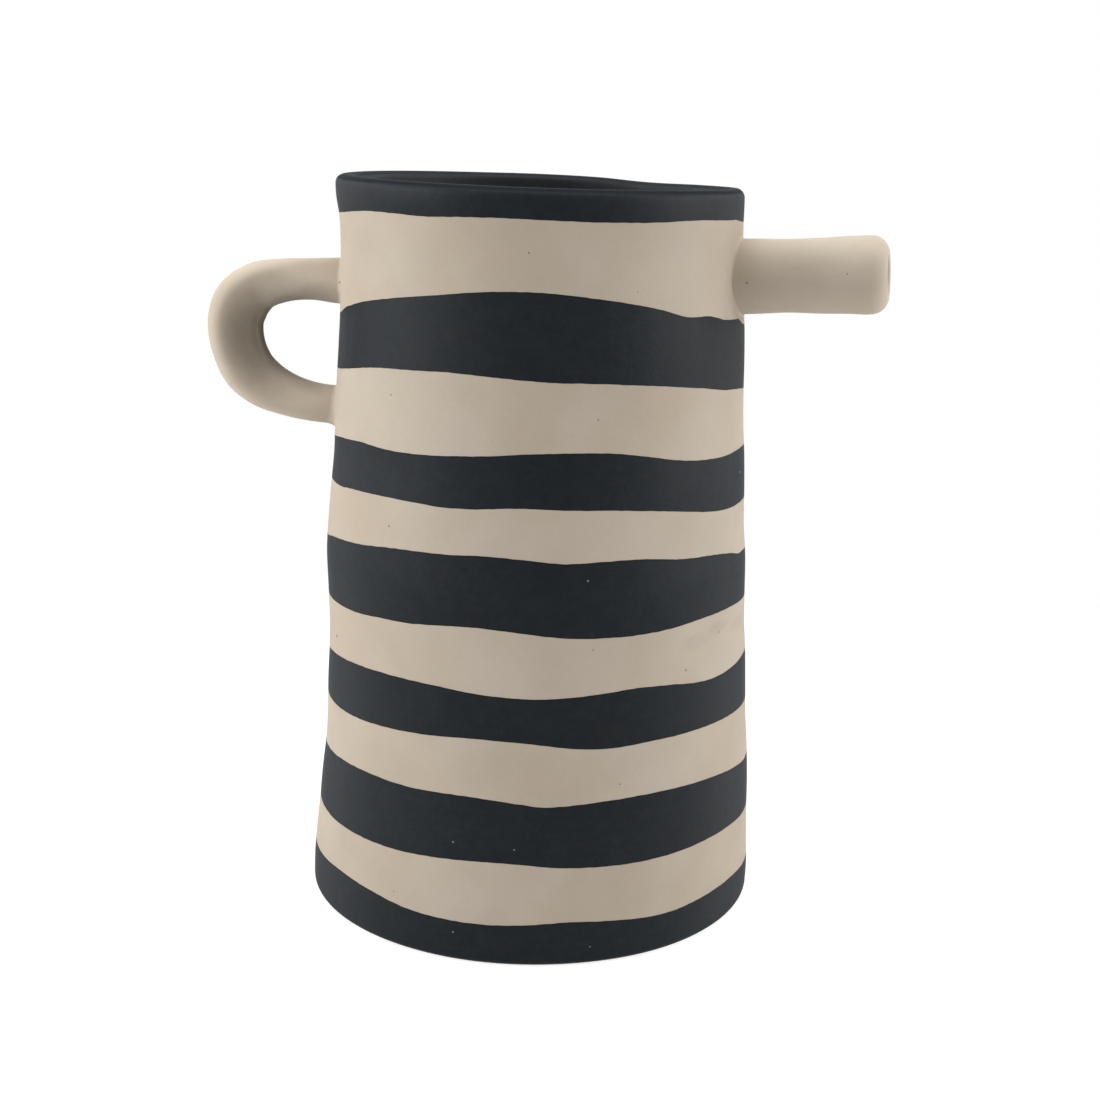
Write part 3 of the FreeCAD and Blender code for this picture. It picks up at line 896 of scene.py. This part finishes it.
clayLook = {
    "pale": (0.457, 0.398, 0.325), "warm": (0.428, 0.361, 0.284),
    # the coil colours are a paler copy of the clay, painted light for the handle, the spout and their
    # collars, which are of the same clay as the wall
    "coilPaleLit": (0.489, 0.426, 0.346), "coilWarmLit": (0.458, 0.388, 0.304),
    "warmthScale": 0.031, "warmthRange": (0.32, 0.68),
    "speck": (0.13, 0.105, 0.08), "smudge": (0.27, 0.245, 0.21), "paintedShade": (0.130, 0.109, 0.087),
    "smudgeStrength": 0.2, "smudgeRagged": 0.5, "paintedShadeStrength": 0.82, "paintedShadeRagged": 0.12,
    "roughness": (0.72, 0.84), "specular": 0.3,
    # depth in mm and strength of the dents, the grain and the specks
    "reliefs": [(0.5, 0.35), (0.06, 0.7), (0.12, 0.6)],
    "grain": {"Cloud Size": 21.0, "Clouding": 0.09, "Grain Size": 0.42, "Graininess": 0.075},
    "bits": [({"Spacing": 7.5, "Share": 0.12, "Size": 0.22}, 0.4),
             ({"Spacing": 3.1, "Share": 0.12, "Size": 0.26}, 0.2)],
    # middle and size of each speck, then middle and reach of each other mark, mm
    "specks": [((-3.2, -58.4, 196.8), 0.36), ((-40.5, -46.8, 121.0), 0.38), ((15.9, -58.2, 153.5), 0.34),
               ((-40.1, -44.2, 157.0), 0.34), ((25.6, -53.2, 186.9), 0.32), ((24.6, -60.2, 51.9), 0.36),
               ((-38.6, -54.7, 16.1), 0.34), ((42.8, -47.5, 81.3), 0.42), ((16.1, -61.3, 90.9), 0.34),
               ((-57.9, -23.5, 82.3), 0.6), ((53.0, -35.5, 89.1), 0.34), ((57.4, -26.2, 187.6), 0.4),
               ((83.9, -33.3, 191.2), 0.36), ((-58.2, -6.9, 183.9), 0.5)],
    # painted shade: the inner side of the loop is darkened where the handle and the body keep the light off
    # it
    "paintedShades": [((-71.5, -4.0, 168.0), (25.5, 30.0, 19.0))],    # inner side of the loop
    "smudges": [((45.8, -44.6, 88.6), (7.0, 7.0, 3.4)), ((52.0, -36.0, 90.6), (7.5, 7.5, 2.6)),
                ((58.5, -22.0, 88.4), (5.0, 9.0, 3.0))],
}


def makeCreamClay(name, pale, warm, paintedShades=()):
    material, tree, spot = newMaterial(name)
    look = clayLook
    grain = useGroup("grain", spot, look["grain"])
    warmth = ranged(noiseOf(spot, look["warmthScale"], 3.0), *look["warmthRange"], 0.0, 1.0)
    colour = blended(warmth, pale, warm)
    smudged = marksOf(spot, look["smudges"], look["smudgeRagged"])
    colour = blended(times(smudged, look["smudgeStrength"]), colour, look["smudge"])
    # painted shade darkens the inside of the handle's loop
    if paintedShades:
        loopShadeMask = marksOf(spot, paintedShades, look["paintedShadeRagged"])
        colour = blended(times(loopShadeMask, look["paintedShadeStrength"]), colour, look["paintedShade"])
    dark = specksOf(spot, look)
    colour = blended(dark, colour, look["speck"])
    roughness = ranged(grain["Height"], *usualNoise, *look["roughness"])
    pits = maths("SUBTRACT", 1.0, dark)
    finishMaterial(tree, look, colour, grain["Tone"], roughness, [grain["Dents"], grain["Height"], pits])
    return material


slipLook = {
    "deep": (0.0040, 0.0068, 0.0098), "worn": (0.0064, 0.0095, 0.0127), "warm": (0.0088, 0.0083, 0.0094),
    # inside is painted light, which makes the rim's shaded inner face paler; edge darkens the band edges and
    # is also the painted shade on the lip's top
    "edge": (0.0015, 0.0028, 0.0040), "inside": (0.021, 0.025, 0.029), "speck": (0.30, 0.29, 0.26),
    # brush strokes run round the jug, so they are stretched along it
    "strokeScale": (0.07, 0.07, 0.9), "blotScale": 0.24, "strokeShare": 0.3, "blotShare": 0.7,
    "wornRange": (0.38, 0.64), "warmScale": 0.17, "warmShift": (40.0, 11.0, 7.0), "warmRange": (0.55, 0.72),
    "warmStrength": 0.5, "edgeStrength": 0.8, "lipShadeStrength": 0.15, "insideLightStrength": 0.6,
    # the lip lies above a height in mm, and faces up as far as lipFacing says
    "lipHeight": 200.0, "lipFacing": (0.4, 0.85), "insideRadii": (55.8, 57.6),
    "roughness": (0.47, 0.495), "lipRoughness": 0.5, "slant": (0.45, 0.85), "slantRoughness": 0.17,
    "specular": 0.145,
    # depth in mm and strength of the dents, the brush strokes and the grain
    "reliefs": [(0.5, 0.35), (0.006, 0.1), (0.09, 0.85)],
    "grain": {"Cloud Size": 11.0, "Clouding": 0.3, "Grain Size": 0.42, "Graininess": 0.65},
    "bits": [({"Spacing": 4.5, "Share": 0.2, "Size": 0.2}, 0.07)],
    "specks": [((14.2, -61.2, 110.2), 0.36), ((58.8, -19.2, 132.8), 0.3), ((-21.5, -62.2, 34.6), 0.3),
               ((-4.4, -66.0, 34.2), 0.3), ((-21.2, -64.4, 8.5), 0.3), ((17.3, -65.8, 5.3), 0.3)],
}


def makeDarkSlip():
    material, tree, spot = newMaterial("dark_slip")
    look = slipLook
    grain = useGroup("grain", spot, look["grain"])
    strokes = noiseOf(vectorMaths("MULTIPLY", spot, look["strokeScale"]), 1.0, 3.0, 0.6)
    blots = noiseOf(spot, look["blotScale"], 4.0, 0.62)
    worn = plus(times(strokes, look["strokeShare"]), times(blots, look["blotShare"]))
    colour = blended(ranged(worn, *look["wornRange"], 0.0, 1.0), look["deep"], look["worn"])
    warmth = noiseOf(vectorMaths("ADD", spot, look["warmShift"]), look["warmScale"], 4.0, 0.6)
    warmth = ranged(warmth, *look["warmRange"], 0.0, look["warmStrength"])
    colour = blended(warmth, colour, look["warm"])
    # painted shade darkens the lip's up-facing top to dim its highlight, and painted light makes the inside
    # of the rim paler where it lies in shade
    high = maths("GREATER_THAN", zOf(spot), look["lipHeight"])
    facing = zOf(tree.nodes["Texture Coordinate"].outputs["Normal"])
    onLip = times(high, ranged(facing, *look["lipFacing"], 0.0, 1.0))
    across = vectorMaths("LENGTH", vectorMaths("MULTIPLY", spot, (1.0, 1.0, 0.0)))
    inwards = times(high, ranged(across, *look["insideRadii"], 1.0, 0.0))
    lipShade = maths("SUBTRACT", onLip, inwards, clamp=True)
    colour = blended(times(lipShade, look["lipShadeStrength"]), colour, look["edge"])
    colour = blended(times(inwards, look["insideLightStrength"]), colour, look["inside"])
    bandEdge = newNode("Attribute", tree=tree, attribute_name="slipEdge").outputs["Fac"]
    colour = blended(times(bandEdge, look["edgeStrength"]), colour, look["edge"])
    colour = blended(specksOf(spot, look), colour, look["speck"])
    roughness = ranged(strokes, *usualNoise, *look["roughness"])
    roughness = plus(roughness, times(onLip, look["lipRoughness"]))
    # seen at a slant, the matt slip has hardly any gloss
    slanting = newNode("LayerWeight", tree=tree).outputs["Facing"]
    dulled = ranged(slanting, *look["slant"], 0.0, look["slantRoughness"])
    roughness = plus(roughness, dulled, clamp=True)
    finishMaterial(tree, look, colour, grain["Tone"], roughness, [grain["Dents"], strokes, grain["Height"]])
    return material


glazeLook = {
    "thin": (0.47, 0.40, 0.30), "pooled": (0.36, 0.29, 0.20), "speck": (0.12, 0.085, 0.055),
    # the glaze pools towards the floor, from the higher of two heights to the lower, and runs down in streaks
    "poolHeights": (8.0, 30.0), "poolStrengths": (0.75, 0.1), "runScale": (0.16, 0.16, 0.022),
    "runStrength": 0.7, "roughness": (0.11, 0.24), "specular": 0.5,
    # depth in mm and strength of the dents and the runs
    "reliefs": [(0.5, 0.4), (0.15, 0.5)],
    "grain": {"Cloud Size": 18.0, "Clouding": 0.10, "Grain Size": 0.6, "Graininess": 0.05,
              "Dent Scale": 0.11, "Dent Roughness": 0.5},
    "bits": [({"Spacing": 5.5, "Share": 0.3, "Size": 0.4}, 0.6)],
    "specks": [],
}


def makeClearGlaze():
    material, tree, spot = newMaterial("clear_glaze")
    look = glazeLook
    grain = useGroup("grain", spot, look["grain"])
    pooled = ranged(zOf(spot), *look["poolHeights"], *look["poolStrengths"])
    runs = noiseOf(vectorMaths("MULTIPLY", spot, look["runScale"]), 1.0, 3.0)
    pooled = plus(pooled, aroundZero(runs, look["runStrength"]), clamp=True)
    colour = blended(pooled, look["thin"], look["pooled"])
    colour = blended(specksOf(spot, look), colour, look["speck"])
    roughness = ranged(runs, *usualNoise, *look["roughness"])
    finishMaterial(tree, look, colour, grain["Tone"], roughness, [grain["Dents"], runs])
    return material


def dress(material, *pieces):
    for piece in pieces:
        piece.data.materials.clear()
        piece.data.materials.append(material)


creamClay = makeCreamClay("cream_clay", clayLook["pale"], clayLook["warm"])
# the handle, spout and collars get the paler, painted-light copy of the clay, with the painted shade in the
# loop
litCoilClay = makeCreamClay("cream_clay_coils_lit", clayLook["coilPaleLit"], clayLook["coilWarmLit"], clayLook["paintedShades"])
dress(creamClay, wall, floor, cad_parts["floor_seam_coil"])
dress(litCoilClay, loopHandle, spoutTube, spoutCollar, *handleCollars)
dress(makeDarkSlip(), *bands.values())
dress(makeClearGlaze(), glaze, sleeve)
print("materials made")


# Floor, lamps and the studio round it
white = (1.0, 1.0, 1.0)

studio = {
    "floorHalf": 4000.0, "whiteFrom": (160.0, 450.0),    # mm. The rest is in metres.
    "floorGap": 0.0001, "floorColour": (0.80, 0.80, 0.80), "shadedFloor": (0.35, 0.35, 0.35),
    "floorLift": 0.78, "ambientStrength": 0.12, "lampsAimAt": (0, 0, 0.11),
    # place, size, watts and colour of each soft box
    "lamps": {
        "left": ((-1.0, -0.08, 0.45), (0.9, 0.9), 5.4, white),
        "right": ((1.0, -0.16, 0.45), (0.8, 0.9), 8.5, white),
        "leftFront": ((-0.90, -0.42, 0.45), (0.7, 0.8), 4.7, white),
        "backLeft": ((-0.75, 0.8, 0.5), (0.7, 0.9), 1.3, white),
        "backRight": ((0.75, 0.8, 0.5), (0.7, 0.9), 0.9, white),
        "above": ((0.0, 0.1, 1.1), (1.0, 1.0), 12.7, (1.0, 0.985, 0.96)),
    },
}


# Rays that see the background as white: the rest see it as the object's surroundings
def seenDirectly(tree):
    ray = newNode("LightPath", tree=tree).outputs
    return strongest([ray[kind] for kind in ("Is Camera Ray", "Is Glossy Ray", "Is Transmission Ray")])


def mixedShaders(amount, first, second):
    return newNode("MixShader", {0: amount, 1: first, 2: second}).outputs[0]


def makeFloor():
    bm = bmesh.new()
    bmesh.ops.create_grid(bm, x_segments=2, y_segments=2, size=studio["floorHalf"])
    top = finishMesh(bm, "tableTop")
    top.location.z = -studio["floorGap"]
    material, tree, spot = newMaterial("white_table")
    lit = tree.nodes["Principled BSDF"]
    feedAll(lit, {"Base Color": studio["floorColour"], "Roughness": 0.9, "Specular IOR Level": 0.0})
    shaded = newNode("BsdfDiffuse", {"Color": studio["shadedFloor"]}, tree).outputs[0]
    lift = newNode("Emission", {"Strength": studio["floorLift"]}, tree).outputs[0]
    shadow = newNode("AddShader", {0: shaded, 1: lift}).outputs[0]
    glow = newNode("Emission", tree=tree).outputs[0]
    away = ranged(vectorMaths("LENGTH", spot), *studio["whiteFrom"], 0.0, 1.0)
    faded = mixedShaders(away, shadow, glow)
    fromAbove = mixedShaders(seenDirectly(tree), lit.outputs[0], faded)
    # seen from below, the table top lets the foot show
    side = newNode("NewGeometry", tree=tree).outputs["Backfacing"]
    clear = newNode("BsdfTransparent", tree=tree).outputs[0]
    feed(mixedShaders(side, fromAbove, clear), tree.nodes["Material Output"].inputs["Surface"])
    dress(material, top)


def makeStudio():
    world = bpy.data.worlds.new("studio")
    scene.world = world
    world.use_nodes = True
    tree = world.node_tree
    ambient = tree.nodes["Background"]
    feedAll(ambient, {"Color": white, "Strength": studio["ambientStrength"]})
    glow = newNode("Background", {"Color": white}, tree).outputs[0]
    either = mixedShaders(seenDirectly(tree), ambient.outputs[0], glow)
    feed(either, tree.nodes["World Output"].inputs["Surface"])
    for name, (where, size, watts, colour) in studio["lamps"].items():
        data = bpy.data.lights.new(name, "AREA")
        data.shape, data.size, data.size_y = "RECTANGLE", *size
        data.energy, data.color = watts, colour
        lamp = bpy.data.objects.new(name, data)
        lamp.location = where
        towards = Vector(studio["lampsAimAt"]) - Vector(where)
        lamp.rotation_euler = towards.to_track_quat("-Z", "Y").to_euler()
        scene.collection.objects.link(lamp)


makeFloor()
makeStudio()
scene.view_settings.view_transform = "Standard"
print("studio made")
